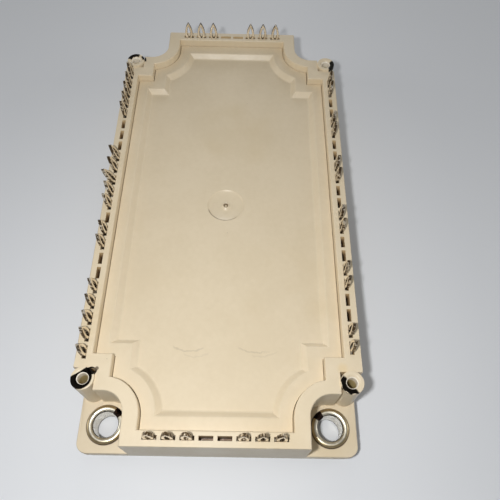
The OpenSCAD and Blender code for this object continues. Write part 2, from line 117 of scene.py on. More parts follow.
# %% Node helpers
class Net:
    """Adds nodes to one tree. Values may be numbers or sockets of other nodes."""

    def __init__(self, tree):
        self.tree = tree

    def node(self, kind, **settings):
        made = self.tree.nodes.new(kind)
        inputs = settings.pop("inputs", {})
        for key, value in settings.items():
            setattr(made, key, value)
        for key, value in inputs.items():
            self.feed(made.inputs[key], value)
        return made

    def feed(self, socket, value):
        if isinstance(value, bpy.types.NodeSocket):
            self.tree.links.new(value, socket)
        else:
            socket.default_value = value

    def math(self, operation, a, b=0.0):
        return self.node("ShaderNodeMath", operation=operation, inputs={0: a, 1: b}).outputs[0]

    def plus(self, a, b):
        return self.math("ADD", a, b)

    def minus(self, a, b):
        return self.math("SUBTRACT", a, b)

    def times(self, a, b):
        return self.math("MULTIPLY", a, b)

    def over(self, value, limit):
        return self.math("GREATER_THAN", value, limit)

    def under(self, value, limit):
        return self.math("LESS_THAN", value, limit)

    def rest(self, mask):
        """All that a mask leaves free."""
        return self.minus(1.0, mask)

    def length(self, a, b):
        return self.math("SQRT", self.plus(self.times(a, a), self.times(b, b)))

    def axes(self, vector):
        return self.node("ShaderNodeSeparateXYZ", inputs={"Vector": vector}).outputs

    def offset_mm(self, place, point):
        """How far a place lies from a point: across, along and up, in millimetres."""
        made = self.node("ShaderNodeVectorMath", operation="SUBTRACT",
                         inputs={0: place, 1: point})
        axes = self.axes(made.outputs[0])
        return [self.times(axes[axis], 1 / MM) for axis in "XYZ"]

    def ramp(self, value, low, high):
        """0 up to low, 1 from high on, and a soft rise between them."""
        made = self.node("ShaderNodeMapRange", interpolation_type="SMOOTHSTEP",
                         inputs={"Value": value, "From Min": low, "From Max": high})
        return made.outputs["Result"]

    def blend(self, amount, a, b):
        made = self.node("ShaderNodeMix", data_type="RGBA",
                         inputs={"Factor": amount, "A": a, "B": b})
        return made.outputs["Result"]

    def coat(self, colour, mask, share, tint):
        """Lays a tint over a colour where the mask is, a share of it at the thickest."""
        return self.blend(self.times(mask, share), colour, tint)


def make_group(name, inputs, outputs):
    tree = bpy.data.node_groups.new(name, "ShaderNodeTree")
    for label, kind, default in inputs:
        socket = tree.interface.new_socket(name=label, in_out="INPUT", socket_type=kind)
        if default is not None:
            socket.default_value = default
    for label, kind in outputs:
        tree.interface.new_socket(name=label, in_out="OUTPUT", socket_type=kind)
    net = Net(tree)
    return tree, net, net.node("NodeGroupInput").outputs, net.node("NodeGroupOutput").inputs


def linear(r, g, b):
    """A colour in the usual steps of 0 to 255, turned into linear light."""
    steps = [v / 255 for v in (r, g, b)]
    return tuple(v / 12.92 if v <= 0.04045 else ((v + 0.055) / 1.055) ** 2.4
                 for v in steps) + (1.0,)


FLOAT, VECTOR = "NodeSocketFloat", "NodeSocketVector"
print("cream in linear light:", [round(v, 3) for v in linear(222, 208, 180)])

# %% [markdown]
# `mottle` is the slow cloudiness of any real surface, with a finer cloud over it.
# Two noises of different size look more natural than one.

# %% The mottle group
mottle, net, given, out = make_group(
    "mottle",
    [("Vector", VECTOR, None), ("Size", FLOAT, 8.0), ("Fine size", FLOAT, 1.0),
     ("Fine share", FLOAT, 0.3)],
    [("Cloud", FLOAT)])


def noise_of_size(net, vector, size_mm, detail, rough=0.5):
    """Noise whose blobs are about size_mm across."""
    made = net.node("ShaderNodeTexNoise", inputs={
        "Vector": vector, "Scale": net.math("DIVIDE", 1 / MM, size_mm),
        "Detail": detail, "Roughness": rough})
    return made.outputs["Fac"]


slow = noise_of_size(net, given["Vector"], given["Size"], 3.0)
fine = noise_of_size(net, given["Vector"], given["Fine size"], 2.0)
both = net.plus(net.times(slow, net.rest(given["Fine share"])),
                net.times(fine, given["Fine share"]))
net.feed(out["Cloud"], net.ramp(both, 0.3, 0.7))
print("group:", mottle.name)

# %% [markdown]
# `specks` scatters tiny spots: one in each cell of a Voronoi pattern, of which only a few
# are kept. They stand for dust and dark inclusions in the plastic.

# %% The specks group
specks, net, given, out = make_group(
    "specks",
    [("Vector", VECTOR, None), ("Spacing", FLOAT, 4.0), ("Radius", FLOAT, 0.1),
     ("Share kept", FLOAT, 0.4)],
    [("Mask", FLOAT)])
cells = net.node("ShaderNodeTexVoronoi", inputs={
    "Vector": given["Vector"], "Scale": net.math("DIVIDE", 1 / MM, given["Spacing"])}).outputs
distance_mm = net.times(cells["Distance"], given["Spacing"])
spot = net.rest(net.ramp(distance_mm, net.times(given["Radius"], 0.5), given["Radius"]))
luck = net.node("ShaderNodeSeparateColor", inputs={"Color": cells["Color"]}).outputs["Red"]
net.feed(out["Mask"], net.times(spot, net.under(luck, given["Share kept"])))
print("group:", specks.name)

# %% [markdown]
# `smear` is a crescent round a point seen from above: it lies between two radii and two
# directions, only above a height, and one straight line may cut a piece off it. Its border
# is ragged. It stands for the dark residue on a screw boss, for painted shadow beside the
# bosses and at the lid's gate mark, and for scuffs on the lid.
# An image could paint this, but a formula stays sharp and needs no file.

# %% The smear group
smear, net, given, out = make_group(
    "smear",
    [("Vector", VECTOR, None), ("Centre", VECTOR, None), ("Inner", FLOAT, 1.0),
     ("Outer", FLOAT, 2.0), ("Direction", FLOAT, 0.0), ("Half spread", FLOAT, 90.0),
     ("Ragged", FLOAT, 0.3), ("Lowest", FLOAT, 0.0), ("Cut direction", FLOAT, 0.0),
     ("Cut distance", FLOAT, 99.0), ("Border", FLOAT, 0.12)],
    [("Mask", FLOAT)])
RAGGED_BLOB_MM, RAGGED_RADIUS, RAGGED_DEGREES = 0.9, 2.0, 30.0
SPREAD_BORDER_DEGREES, CUT_BORDER_MM = 12.0, 0.15


def turned(net, value):
    """An angle in degrees, brought between -180 and 180."""
    return net.node("ShaderNodeMath", operation="WRAP",
                    inputs={0: value, 1: 180.0, 2: -180.0}).outputs[0]


across, along, up = net.offset_mm(given["Vector"], given["Centre"])
ragged = net.times(given["Ragged"], net.minus(
    noise_of_size(net, given["Vector"], RAGGED_BLOB_MM, 3.0), 0.5))
radius = net.plus(net.length(across, along), net.times(ragged, RAGGED_RADIUS))
bearing = net.times(net.math("ARCTAN2", along, across), 180 / math.pi)
aside = net.math("ABSOLUTE", turned(net, net.minus(bearing, given["Direction"])))
aside = net.plus(aside, net.times(ragged, RAGGED_DEGREES))
cut_turn = net.times(given["Cut direction"], math.pi / 180)
towards_cut = net.plus(net.times(across, net.math("COSINE", cut_turn)),
                       net.times(along, net.math("SINE", cut_turn)))
beyond_inner = net.ramp(radius, net.minus(given["Inner"], given["Border"]), given["Inner"])
mask = net.times(beyond_inner, net.over(up, given["Lowest"]))
for value, limit, border in ((radius, given["Outer"], given["Border"]),
                             (aside, given["Half spread"], SPREAD_BORDER_DEGREES),
                             (towards_cut, given["Cut distance"], CUT_BORDER_MM)):
    mask = net.times(mask, net.rest(net.ramp(value, limit, net.plus(limit, border))))
net.feed(out["Mask"], mask)
print("group:", smear.name)

# %% [markdown]
# `corner_ring` measures from the nearest of four points that mirror each other, such as
# the screw holes: how far off a spot is, how far it lies inwards on the diagonal through
# that point, and how far aside of the diagonal. With it, one finish serves all four
# corners.

# %% The corner ring group
corner_ring, net, given, out = make_group(
    "corner_ring",
    [("Vector", VECTOR, None), ("Point", VECTOR, None)],
    [("Radius", FLOAT), ("Inwards", FLOAT), ("Aside", FLOAT), ("Height", FLOAT)])
folded = net.node("ShaderNodeVectorMath", operation="ABSOLUTE", inputs={0: given["Vector"]})
across, along, up = net.offset_mm(folded.outputs[0], given["Point"])
half_root = math.sqrt(0.5)
net.feed(out["Radius"], net.length(across, along))
net.feed(out["Inwards"], net.times(net.plus(across, along), -half_root))
net.feed(out["Aside"], net.math("ABSOLUTE", net.times(net.minus(across, along), half_root)))
net.feed(out["Height"], up)
print("group:", corner_ring.name)

# %% [markdown]
# ## The cream plastic
# The housing is glass-filled plastic: cream, satin, faintly mottled, slightly yellowed
# here and there, with a very fine grain that breaks up its gloss. One flat colour would
# look like putty, so mottle, specks and grain are laid over it.

# %% A material with its surface shader
def new_material(name):
    material = bpy.data.materials.new(name)
    material.use_nodes = True
    tree = material.node_tree
    tree.nodes.clear()
    net = Net(tree)
    surface = net.node("ShaderNodeBsdfPrincipled")
    net.node("ShaderNodeOutputMaterial", inputs={"Surface": surface.outputs["BSDF"]})
    place = net.node("ShaderNodeTexCoord").outputs["Object"]
    return material, net, surface, place


def group_outputs(net, group, **inputs):
    made = net.node("ShaderNodeGroup", node_tree=group)
    for label, value in inputs.items():
        net.feed(made.inputs[label.replace("_", " ")], value)
    return made.outputs


def mottled(net, place, size_mm, fine_size_mm, fine_share):
    return group_outputs(net, mottle, Vector=place, Size=size_mm, Fine_size=fine_size_mm,
                         Fine_share=fine_share)["Cloud"]


def ring_round(net, place, point):
    """The corner ring's measures for a point in millimetres."""
    return group_outputs(net, corner_ring, Vector=place,
                         Point=(point[0] * MM, point[1] * MM, 0))


def add_bump(net, surface, height, depth_mm, strength):
    bump = net.node("ShaderNodeBump", inputs={"Strength": strength, "Distance": depth_mm * MM})
    net.feed(bump.inputs["Height"], height)
    net.feed(surface.inputs["Normal"], bump.outputs["Normal"])


print("helpers for materials ready")

# %% Cream plastic
CREAM, CREAM_DARK = linear(229, 213, 184), linear(213, 195, 161)
YELLOWED, RESIDUE_AND_SHADOW_BLACK = linear(206, 182, 132), linear(7, 5, 5)
PAINTED_SHADOW_BROWN, SPECK = linear(62, 46, 30), linear(118, 98, 70)
ALL_ROUND = (0.0, 180.0)


def cream_plastic(name, smears):
    """Each smear: centre, inner, outer, direction, half spread, share, tint and extras."""
    material, net, surface, place = new_material(name)
    cloud = mottled(net, place, 14.0, 1.2, 0.35)
    stain = net.ramp(noise_of_size(net, place, 22.0, 2.0), 0.58, 0.78)
    spots = group_outputs(net, specks, Vector=place, Spacing=5.0, Radius=0.11,
                          Share_kept=0.3)["Mask"]
    colour = net.coat(CREAM, cloud, 0.35, CREAM_DARK)
    colour = net.coat(colour, stain, 0.22, YELLOWED)
    colour = net.coat(colour, spots, 0.55, SPECK)
    rough = net.plus(0.34, net.times(cloud, 0.08))
    black = 0.0
    for centre, inner, outer, direction, spread, share, tint, extras in smears:
        mark = group_outputs(net, smear, Vector=place, Centre=[c * MM for c in centre],
                             Inner=inner, Outer=outer, Direction=direction,
                             Half_spread=spread, **extras)["Mask"]
        mark = net.times(mark, share)
        colour = net.blend(mark, colour, tint)
        if tint == RESIDUE_AND_SHADOW_BLACK:
            black = net.math("MAXIMUM", black, mark)
    rough = net.plus(rough, net.times(black, 0.2))
    return material, net, surface, place, colour, rough, black


def close_plastic(net, surface, place, colour, rough, black):
    """The black residue and painted shadow count as a nearly black metal, so they have hardly
    any gloss of their own.
    """
    net.feed(surface.inputs["Base Color"], colour)
    net.feed(surface.inputs["Roughness"], rough)
    net.feed(surface.inputs["Metallic"], black)
    surface.inputs["Specular IOR Level"].default_value = 0.5
    add_bump(net, surface, noise_of_size(net, place, 0.35, 3.0, 0.6), 0.02, 0.45)


print("finish begun by:", cream_plastic.__name__)

# %% [markdown]
# The frame carries the marks of use. First comes the black residue on the tops of its
# four bosses, of the kind that the screws of a circuit board leave. It covers another part
# of the ring on each boss, so every patch is written out. Some black and brown patches are
# painted shadow instead: in the notch corner beside the near-left boss and on the right of
# the far-left boss. On the right of the far-right boss, residue and painted shadow run
# together.

# %% The frame's plastic, with residue and painted shadow
BOSS = (28.5, 47.7)
TOP = {"Lowest": 15.9, "Ragged": 0.3}
material, net, surface, place, colour, rough, black = cream_plastic("cream_plastic_frame", [
    ((-BOSS[0] - 0.45, -BOSS[1] + 0.1, 0), 0.0, 2.4, *ALL_ROUND, 0.99, RESIDUE_AND_SHADOW_BLACK,
     {"Lowest": 15.9, "Ragged": 0.15, "Cut_direction": 124.0, "Cut_distance": 1.15}),
    # painted shadow: black and brown in the notch corner beside the near-left boss
    ((-26.8, -46.0, 0), 0.0, 0.85, *ALL_ROUND, 0.98, RESIDUE_AND_SHADOW_BLACK, TOP),
    ((-26.0, -45.5, 0), 0.0, 0.42, *ALL_ROUND, 0.8, PAINTED_SHADOW_BROWN, TOP),
    ((BOSS[0], -BOSS[1], 0), 1.1, 2.38, -140.0, 72.0, 0.99, RESIDUE_AND_SHADOW_BLACK, TOP),
    ((BOSS[0] - 1.8, -BOSS[1] + 3.1, 0), 0.0, 0.5, *ALL_ROUND, 0.3, linear(226, 194, 128),
     {"Ragged": 0.25, "Border": 1.1}),
    ((-BOSS[0], BOSS[1], 0), 1.5, 3.0, 118.0, 48.0, 0.98, RESIDUE_AND_SHADOW_BLACK, TOP),
    # painted shadow: the gap on the right of the far-left boss
    ((-BOSS[0], BOSS[1], 0), 1.9, 3.0, 22.0, 14.0, 0.98, RESIDUE_AND_SHADOW_BLACK, TOP),
    # residue with painted shadow on the right of the far-right boss
    ((BOSS[0], BOSS[1], 0), 1.2, 3.0, -18.0, 46.0, 0.98, RESIDUE_AND_SHADOW_BLACK, TOP),
])
frame_plastic = material
print("plastic:", frame_plastic.name)

# %% [markdown]
# A boss's bore is pale at its mouth and turns golden further down, where the light that
# falls in has passed through plastic. No residue lies inside it.

# %% The bores of the bosses
BORE_R, BORE_FOOT = 1.32, 9.0
GOLDEN_BELOW, PALE_ABOVE = 14.2, 15.1
bore = ring_round(net, place, BOSS)
height = bore["Height"]
in_bore = net.times(net.under(bore["Radius"], BORE_R), net.over(height, BORE_FOOT))
deep = net.rest(net.ramp(height, GOLDEN_BELOW, PALE_ABOVE))
inside = net.blend(deep, linear(246, 237, 220), linear(204, 186, 134))
colour = net.blend(in_bore, colour, inside)
black = net.times(black, net.rest(in_bore))
print("bores paler above", PALE_ABOVE, "mm")

# %% [markdown]
# The slots beside the pins are deep and narrow: light in them bounces from wall to wall
# and turns brown. A tint on their walls that darkens downwards gives that at once. It
# lies in four strips, one along each row of slots.

# %% The slots of the pin rows
SLOT_HALF_WIDTH, SLOT_FOOT, SLOT_TOP = 0.62, 11.0, 16.25
SIDE_ROW_X, SIDE_ROW_REACH = 29.1, 45.0
END_ROW_Y, END_ROW_REACH = 59.2, 15.5
DARK_BELOW, LIGHT_ABOVE = 13.4, 16.3
axes = net.axes(place)
off_x, off_y = [net.times(net.math("ABSOLUTE", axes[axis]), 1 / MM) for axis in "XY"]
strips = []
for across, along, row, reach in ((off_x, off_y, SIDE_ROW_X, SIDE_ROW_REACH),
                                  (off_y, off_x, END_ROW_Y, END_ROW_REACH)):
    aside = net.math("ABSOLUTE", net.minus(across, row))
    strips.append(net.times(net.under(aside, SLOT_HALF_WIDTH), net.under(along, reach)))
in_slot = net.times(net.math("MAXIMUM", *strips),
                    net.times(net.under(height, SLOT_TOP), net.over(height, SLOT_FOOT)))
slot_tint = net.blend(net.ramp(height, DARK_BELOW, LIGHT_ABOVE), linear(118, 84, 46),
                      linear(230, 204, 158))
colour = net.coat(colour, in_slot, 0.95, slot_tint)
print("rows of slots tinted:", 2 * len(strips))

# %% [markdown]
# The flange under each bush's collar is painted dark brown: painted shade of the narrow gap
# beneath the collar, and it shows through the bush's open seam.

# %% Painted shade under the collars
MOUNT, COLLAR_R, COLLAR_SHADE_TOP = (25.0, 55.0), 4.25, 5.5
hole = ring_round(net, place, MOUNT)
collar_shade = net.times(net.rest(net.ramp(hole["Radius"], COLLAR_R, COLLAR_R + 0.2)),
                  net.under(hole["Height"], COLLAR_SHADE_TOP))
# painted shade under the collar, seen through the seam
colour = net.coat(colour, collar_shade, 0.95, linear(46, 20, 13))
close_plastic(net, surface, place, colour, rough, black)
print("grime within", COLLAR_R, "mm of each screw hole's middle")

# %% [markdown]
# The lid has only faint scuffs near its near end, thin arcs where something turned on it.
# Its gate mark gets a dark ring round the crater, and painted shadow along the near side of
# the hollow's rim.

# %% The lid's plastic
GATE_Y = -0.7
GATE_CENTRE = (0, GATE_Y, 0)
SCUFF = {"Ragged": 0.5, "Border": 0.25}
GATE_LINE = {"Ragged": 0.12, "Border": 0.1}
material, net, surface, place, colour, rough, black = cream_plastic("cream_plastic_lid", [
    # a dark ring round the gate mark's crater
    (GATE_CENTRE, 0.3, 0.6, *ALL_ROUND, 0.85, SPECK, GATE_LINE),
    # painted shadow along the near side of the gate mark's rim
    (GATE_CENTRE, 4.55, 4.8, -125.0, 30.0, 0.55, SPECK, GATE_LINE),
    (GATE_CENTRE, 4.55, 4.8, -72.0, 14.0, 0.35, SPECK, GATE_LINE),
    ((-7.0, -33.5, 0), 6.6, 6.7, -92.0, 24.0, 0.2, SPECK, SCUFF),
    ((-5.5, -36.4, 0), 5.0, 5.1, -88.0, 26.0, 0.09, SPECK, SCUFF),
    ((8.5, -31.0, 0), 9.2, 9.3, -98.0, 14.0, 0.18, SPECK, SCUFF),
    ((9.0, -34.5, 0), 6.6, 6.7, -80.0, 18.0, 0.09, SPECK, SCUFF),
])
close_plastic(net, surface, place, colour, rough, black)
lid_plastic = material
print("plastic:", lid_plastic.name)

# %% [markdown]
# ## Metals
# `metal_base` begins every metal: a bright colour, a tarnish that lies over it in clouds,
# and one roughness for bright spots and another for dull ones. The base plate needs no
# more than that: it is plated and evenly dull.

# %% Metal finishes
def metal_base(name, bright, tarnish, cloud_mm, fine_share, tarnish_share, smooth, dull):
    material, net, surface, place = new_material(name)
    cloud = mottled(net, place, cloud_mm, cloud_mm / 5, fine_share)
    cloud = net.ramp(cloud, 0.0, 1.0)
    colour = net.coat(bright, cloud, tarnish_share, tarnish)
    rough = net.plus(smooth, net.times(cloud, dull - smooth))
    return material, net, surface, place, colour, rough


def close_metal(net, surface, place, colour, rough, metallic=1.0):
    net.feed(surface.inputs["Base Color"], colour)
    net.feed(surface.inputs["Roughness"], rough)
    surface.inputs["Metallic"].default_value = metallic
    add_bump(net, surface, noise_of_size(net, place, 0.25, 2.0), 0.01, 0.6)


base_metal, net, surface, place, colour, rough = metal_base(
    "plated_base", linear(196, 190, 178), linear(150, 138, 118), 7.0, 0.45, 0.6, 0.32, 0.5)
close_metal(net, surface, place, colour, rough)
print("metal:", base_metal.name)

# %% [markdown]
# The pins are stamped from tinned sheet. Their broad faces keep the pale tin, and their
# narrow cut faces are painted dark olive brown as painted shade, lifted in a few patches by
# painted glints. The side rows show their broad faces sideways and the end rows lengthways,
# so which faces are the cut ones follows from the row and from the way a face looks.

# %% Pin finish
END_ROW_FROM_Y, PIN_METALLIC = 57, 0.75
pin_metal, net, surface, place, colour, rough = metal_base(
    "tinned_pin", linear(252, 243, 226), linear(200, 178, 140), 2.2, 0.4, 0.6, 0.24, 0.38)
facing = net.axes(net.node("ShaderNodeTexCoord").outputs["Normal"])
end_row = net.over(net.math("ABSOLUTE", net.axes(place)["Y"]), END_ROW_FROM_Y * MM)
broad = net.plus(net.times(net.math("ABSOLUTE", facing["X"]), net.rest(end_row)),
                 net.times(net.math("ABSOLUTE", facing["Y"]), end_row))
# painted shade on the cut faces, chosen by the way each face points
cut_face_shade = net.rest(net.ramp(broad, 0.6, 0.9))
# painted glints: patches where the painted shade is lifted
painted_glint = net.ramp(noise_of_size(net, place, 0.7, 2.0), 0.5, 0.62)
cut_face_shade = net.times(cut_face_shade, net.rest(net.times(painted_glint, 0.85)))
colour = net.coat(colour, cut_face_shade, 0.95, linear(74, 54, 24))
close_metal(net, surface, place, colour, rough, PIN_METALLIC)
print("metal:", pin_metal.name)

# %% [markdown]
# A bush is a rolled steel sleeve. Its collar is bronze-coloured at the outer edge and pale
# towards the bore, where the pale band is a painted highlight; its rim, lip and foot are
# outlined in painted shade, and its open seam is painted nearly black as painted shade of
# the deep gap. Rings by distance from the screw hole's middle give all that, each written as
# the radii between which it fades in or out.

# %% Bush finish
BRONZE, HIGHLIGHT_BAND, DULL = (3.4, 3.75), (2.9, 3.1), (2.7, 3.0)
LIP_INSIDE, LIP_OUTSIDE, LIP_FOOT = (2.76, 2.8), (2.84, 2.94), 4.9
RIM, FOOT = (4.08, 4.2), (0.5, 1.0)
SEAM_HALF_WIDTH, SEAM_WIDENING, SEAM_FOOT = 0.2, 0.24, 3.0
bush_metal, net, surface, place, colour, rough = metal_base(
    "plated_bush", linear(226, 222, 212), linear(176, 168, 150), 3.0, 0.45, 0.5, 0.16, 0.32)
ring = ring_round(net, place, MOUNT)
radius, height = ring["Radius"], ring["Height"]
bronze = net.ramp(radius, *BRONZE)
# painted highlight: a pale band on the collar towards the bore
painted_highlight_band = net.times(net.ramp(radius, *HIGHLIGHT_BAND), net.rest(bronze))
# painted shade: dark lines at the lip, the rim and the foot
lip_shade_line = net.times(net.ramp(radius, *LIP_INSIDE), net.rest(net.ramp(radius, *LIP_OUTSIDE)))
lip_shade_line = net.times(lip_shade_line, net.over(height, LIP_FOOT))
painted_shade_lines = net.math("MAXIMUM", net.ramp(radius, *RIM), lip_shade_line)
painted_shade_lines = net.math("MAXIMUM", painted_shade_lines, net.rest(net.ramp(height, *FOOT)))
# painted shade in the bush's open seam
seam_aside = net.minus(ring["Aside"], net.times(ring["Inwards"], SEAM_WIDENING))
seam_shade = net.rest(net.ramp(seam_aside, 0.0, SEAM_HALF_WIDTH))
seam_shade = net.times(seam_shade, net.over(ring["Inwards"], 0.0))
seam_shade = net.times(seam_shade, net.over(height, SEAM_FOOT))
for mask, share, tint in ((bronze, 0.9, linear(184, 164, 124)),
                          (painted_highlight_band, 0.7, linear(244, 236, 214)),
                          (painted_shade_lines, 0.85, linear(52, 38, 22)),
                          (seam_shade, 0.97, linear(40, 17, 11))):
    colour = net.coat(colour, mask, share, tint)
rough = net.plus(rough, net.times(net.ramp(radius, *DULL), 0.16))
rough = net.plus(rough, net.times(seam_shade, 0.4))
close_metal(net, surface, place, colour, rough)
print("metal:", bush_metal.name)

# %% [markdown]
# ## Finishes of the hidden parts
# Under the lid lie substrates, chips and wires in clear gel. They are not seen in normal
# use, but each has its own plain finish with a little variation, so that a cutaway reads.

# %% Hidden finishes
HIDDEN = {  # colour, darker colour, roughness, metallic, size of the clouds in millimetres
    "solder": ((190, 190, 192), (150, 150, 154), 0.45, 1.0, 3.0),
    "copper": ((218, 150, 112), (180, 108, 74), 0.35, 1.0, 4.0),
    "ceramic": ((238, 238, 232), (222, 222, 214), 0.5, 0.0, 4.0),
    "aluminium_wire": ((225, 225, 228), (190, 190, 196), 0.3, 1.0, 1.0),
    "silicon": ((120, 124, 134), (88, 92, 104), 0.2, 0.3, 2.0),
    "black_ceramic": ((46, 46, 48), (28, 28, 30), 0.6, 0.0, 1.0),
    "silicone_gel": ((214, 222, 228), (200, 210, 218), 0.1, 0.0, 12.0),
}


def hidden_finish(name, colour, darker, rough, metallic, cloud_mm):
    material, net, surface, place = new_material(name)
    cloud = mottled(net, place, cloud_mm, cloud_mm / 5, 0.3)
    net.feed(surface.inputs["Base Color"], net.blend(cloud, linear(*colour), linear(*darker)))
    surface.inputs["Metallic"].default_value = metallic
    surface.inputs["Roughness"].default_value = rough
    return material


hidden = {name: hidden_finish(name, *values) for name, values in HIDDEN.items()}
gel = hidden["silicone_gel"].node_tree.nodes["Principled BSDF"].inputs
gel["Transmission Weight"].default_value = 0.9
gel["IOR"].default_value = 1.41
KINDS = {"substrate_solder": "solder", "substrate_lower_copper": "copper",
         "substrate_ceramic": "ceramic", "substrate_tracks": "copper",
         "bond_wires": "aluminium_wire", "thermistor": "black_ceramic",
         "silicone_gel": "silicone_gel", "rectifier": "silicon", "brake": "silicon",
         "inverter": "silicon"}
dressed = 0
for name, solid in nodes.items():
    for start, finish in KINDS.items():
        if name.startswith(start):
            solid.data.materials[0] = hidden[finish]
            dressed += 1
print("hidden solids dressed:", dressed)

# %% [markdown]
# ## Copies with soft edges
# The CAD solids have knife-sharp edges. Moulded and stamped parts have small radii, and
# the thin line of light on them is what makes them look real. A Bevel modifier on the
# whole solid would also round the fine slots and break them, so chosen edges of a copy
# are bevelled in edit mode. The copy's loose triangles are merged first, and flat areas
# are joined into single faces.

# %% Helpers for editing
MERGE_DISTANCE, FLAT_DEGREES = 2e-6, 0.4
SHARP_DEGREES, SMOOTH_DEGREES = 28, 40


def deselect_all():
    if bpy.context.object and bpy.context.object.mode != "OBJECT":
        bpy.ops.object.mode_set(mode="OBJECT")
    bpy.ops.object.select_all(action="DESELECT")


def choose(piece):
    deselect_all()
    piece.select_set(True)
    bpy.context.view_layer.objects.active = piece


def edit(piece):
    choose(piece)
    bpy.ops.object.mode_set(mode="EDIT")


def pick_edges(piece, test):
    """In edit mode, selects just the edges for which the test is true."""
    bpy.ops.mesh.select_mode(type="EDGE")
    bpy.ops.mesh.select_all(action="DESELECT")
    mesh = bmesh.from_edit_mesh(piece.data)
    picked = [edge for edge in mesh.edges if test(edge)]
    for edge in picked:
        edge.select_set(True)
    mesh.select_flush_mode()
    bmesh.update_edit_mesh(piece.data)
    return len(picked)


def middle(edge):
    """The middle of an edge, in millimetres."""
    return (edge.verts[0].co + edge.verts[1].co) / 2 / MM


def is_sharp(edge):
    return (len(edge.link_faces) == 2
            and edge.calc_face_angle(0) > math.radians(SHARP_DEGREES))


def copy_of(node, name):
    piece = bpy.data.objects.new(name, nodes[node].data.copy())
    bpy.context.scene.collection.objects.link(piece)
    edit(piece)
    bpy.ops.mesh.customdata_custom_splitnormals_clear()
    bpy.ops.mesh.select_all(action="SELECT")
    bpy.ops.mesh.remove_doubles(threshold=MERGE_DISTANCE)
    bpy.ops.mesh.dissolve_limited(angle_limit=math.radians(FLAT_DEGREES))
    bpy.ops.object.mode_set(mode="OBJECT")
    return piece


def round_edges(piece, radius_mm, test, segments=2):
    """Bevels the sharp edges for which the test is true, and says how many there were."""
    edit(piece)
    count = pick_edges(piece, lambda edge: is_sharp(edge) and test(middle(edge), edge))
    if count:
        bpy.ops.mesh.bevel(offset=radius_mm * MM, segments=segments, profile=0.5,
                           affect="EDGES", clamp_overlap=False, loop_slide=True)
    bpy.ops.object.mode_set(mode="OBJECT")
    return count


def finish_piece(piece, node, material):
    """Dresses a piece, smooths it, and lets its large faces rule the shading."""
    piece.data.materials.clear()
    piece.data.materials.append(material)
    choose(piece)
    bpy.ops.object.shade_smooth_by_angle(angle=math.radians(SMOOTH_DEGREES))
    flat = piece.modifiers.new("large faces first", "WEIGHTED_NORMAL")
    flat.weight, flat.keep_sharp = 100, True
    bpy.ops.object.modifier_apply(modifier=flat.name)
    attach(piece, "root")
    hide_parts(node)


print("helpers for editing ready")

# %% [markdown]
# ## The frame
# The frame gets a radius on its top outline, on the lid opening's edge, on the flange and
# on the bosses. Slots and hidden walls keep their sharp edges. Each edge is judged by its
# middle, `m`.

# %% Frame with moulded edges
SIDE_SLOTS, SIDE_SLOTS_END = (27.9, 30.2), 43.5
END_SLOTS, END_SLOTS_END = (58.2, 60.3), 15.5
OUTLINE_FROM_Z, BOSS_FROM_Z, FLANGE_Z = 16, 16.9, 5.2
FLANGE_FROM_X, FLANGE_FROM_Y = 22, 44
BOSS_WITHIN, BOSS_CLEARANCE = 2.7, 3.2
frame_copy = copy_of("housing_frame", "moulded_frame")


def in_slot_row(m):
    return ((SIDE_SLOTS[0] < abs(m.x) < SIDE_SLOTS[1] and abs(m.y) < SIDE_SLOTS_END)
            or (END_SLOTS[0] < abs(m.y) < END_SLOTS[1] and abs(m.x) < END_SLOTS_END))


def from_boss(m):
    return math.hypot(abs(m.x) - BOSS[0], abs(m.y) - BOSS[1])


def outline_edge(m, edge):
    return (edge.is_convex and m.z > OUTLINE_FROM_Z and not in_slot_row(m)
            and from_boss(m) > BOSS_CLEARANCE)


def flange_edge(m, edge):
    return (edge.is_convex and abs(m.z - FLANGE_Z) < 0.1 and abs(m.x) > FLANGE_FROM_X
            and abs(m.y) > FLANGE_FROM_Y)


def boss_edge(m, edge):
    return m.z > BOSS_FROM_Z and from_boss(m) < BOSS_WITHIN


rounded = round_edges(frame_copy, 0.3, outline_edge, segments=3)
rounded += round_edges(frame_copy, 0.35, flange_edge)
rounded += round_edges(frame_copy, 0.15, boss_edge)
finish_piece(frame_copy, "housing_frame", frame_plastic)
print("frame edges rounded:", rounded, "faces:", len(frame_copy.data.polygons))

# %% [markdown]
# ## The lid
# The lid is a flat plate with stepped corners, and a shallow dish of about the same
# outline is sunk into it. Insets of the plate's top face would fold where the corner arcs
# meet straight lines, and a bevel on a CAD copy folds its triangles. So the lid grows as a
# chain of rings: a circle is laid on the first outline, then its edges are extruded again
# and again, and each new ring is laid on the next outline. All faces between are clean
# four-sided ones, so soft edges are just a few rings close together.
#
# An outline is a quarter, mirrored: along the side, in at the step, round the corner's arc
# and along the end. The shares say where its points lie on the side and on the end.

# %% Outlines with stepped corners
ARC_STEPS = 22
SIDE_SHARES = [math.tan(math.radians(6 * k)) / math.tan(math.radians(58.5)) for k in range(10)]
END_SHARES = [0.75, 0.5, 0.25, 0.0]
OPENING = {"side": 27.18, "neck": 22.88, "step": 41.98, "end": 57.63, "arc": (24.0, 55.0, 8.12)}
DISH = {"side": 24.4, "neck": 19.4, "step": 39.0, "end": 54.5, "arc": (23.5, 54.5, 10.6)}


